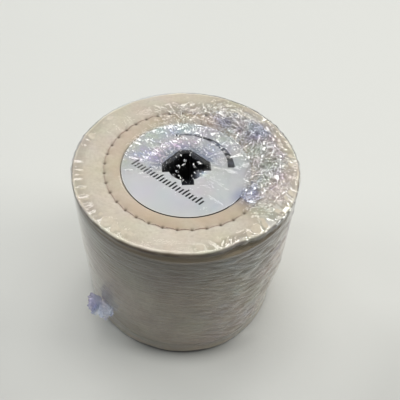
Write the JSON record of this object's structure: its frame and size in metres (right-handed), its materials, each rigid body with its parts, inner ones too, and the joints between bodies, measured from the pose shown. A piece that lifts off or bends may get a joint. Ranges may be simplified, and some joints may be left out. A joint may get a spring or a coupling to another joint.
{
  "type": "felt polishing wheel",
  "caption": "Thick felt drum wheel of sewn layers on a keyed plastic core with dished labelled ends, wrapped in clear film.",
  "frame": {"origin": "centre of the wheel, on its axis, halfway between its two end faces", "axes": "+Z along the wheel's axis towards the end with the gathered film; the wheel stands on its -Z end"},
  "size_m": [0.12, 0.12, 0.1011],
  "materials": {
    "felt": "matte",
    "thread": "matte",
    "core_plastic": "satin",
    "label_paper": "satin",
    "clear_film": "gloss"
  },
  "bodies": {
    "root": {"spline_core": "core_plastic", "end_flange_top": "core_plastic", "label_top": "label_paper", "end_flange_bottom": "core_plastic", "label_bottom": "label_paper", "felt_layer_01": "felt", "felt_layer_02": "felt", "felt_layer_03": "felt", "felt_layer_04": "felt", "felt_layer_05": "felt", "felt_layer_06": "felt", "felt_layer_07": "felt", "felt_layer_08": "felt", "felt_layer_09": "felt", "felt_layer_10": "felt", "felt_layer_11": "felt", "felt_layer_12": "felt", "felt_layer_13": "felt", "felt_layer_14": "felt", "felt_layer_15": "felt", "stitch_thread_1_upper": "thread", "stitch_thread_1_lower": "thread", "stitch_thread_2_upper": "thread", "stitch_thread_2_lower": "thread", "stitch_thread_3_upper": "thread", "stitch_thread_3_lower": "thread", "film_cover": "clear_film", "film_sleeve": "clear_film", "film_base": "clear_film", "film_bunch": "clear_film", "film_tail": "clear_film"}
  },
  "joints": []
}
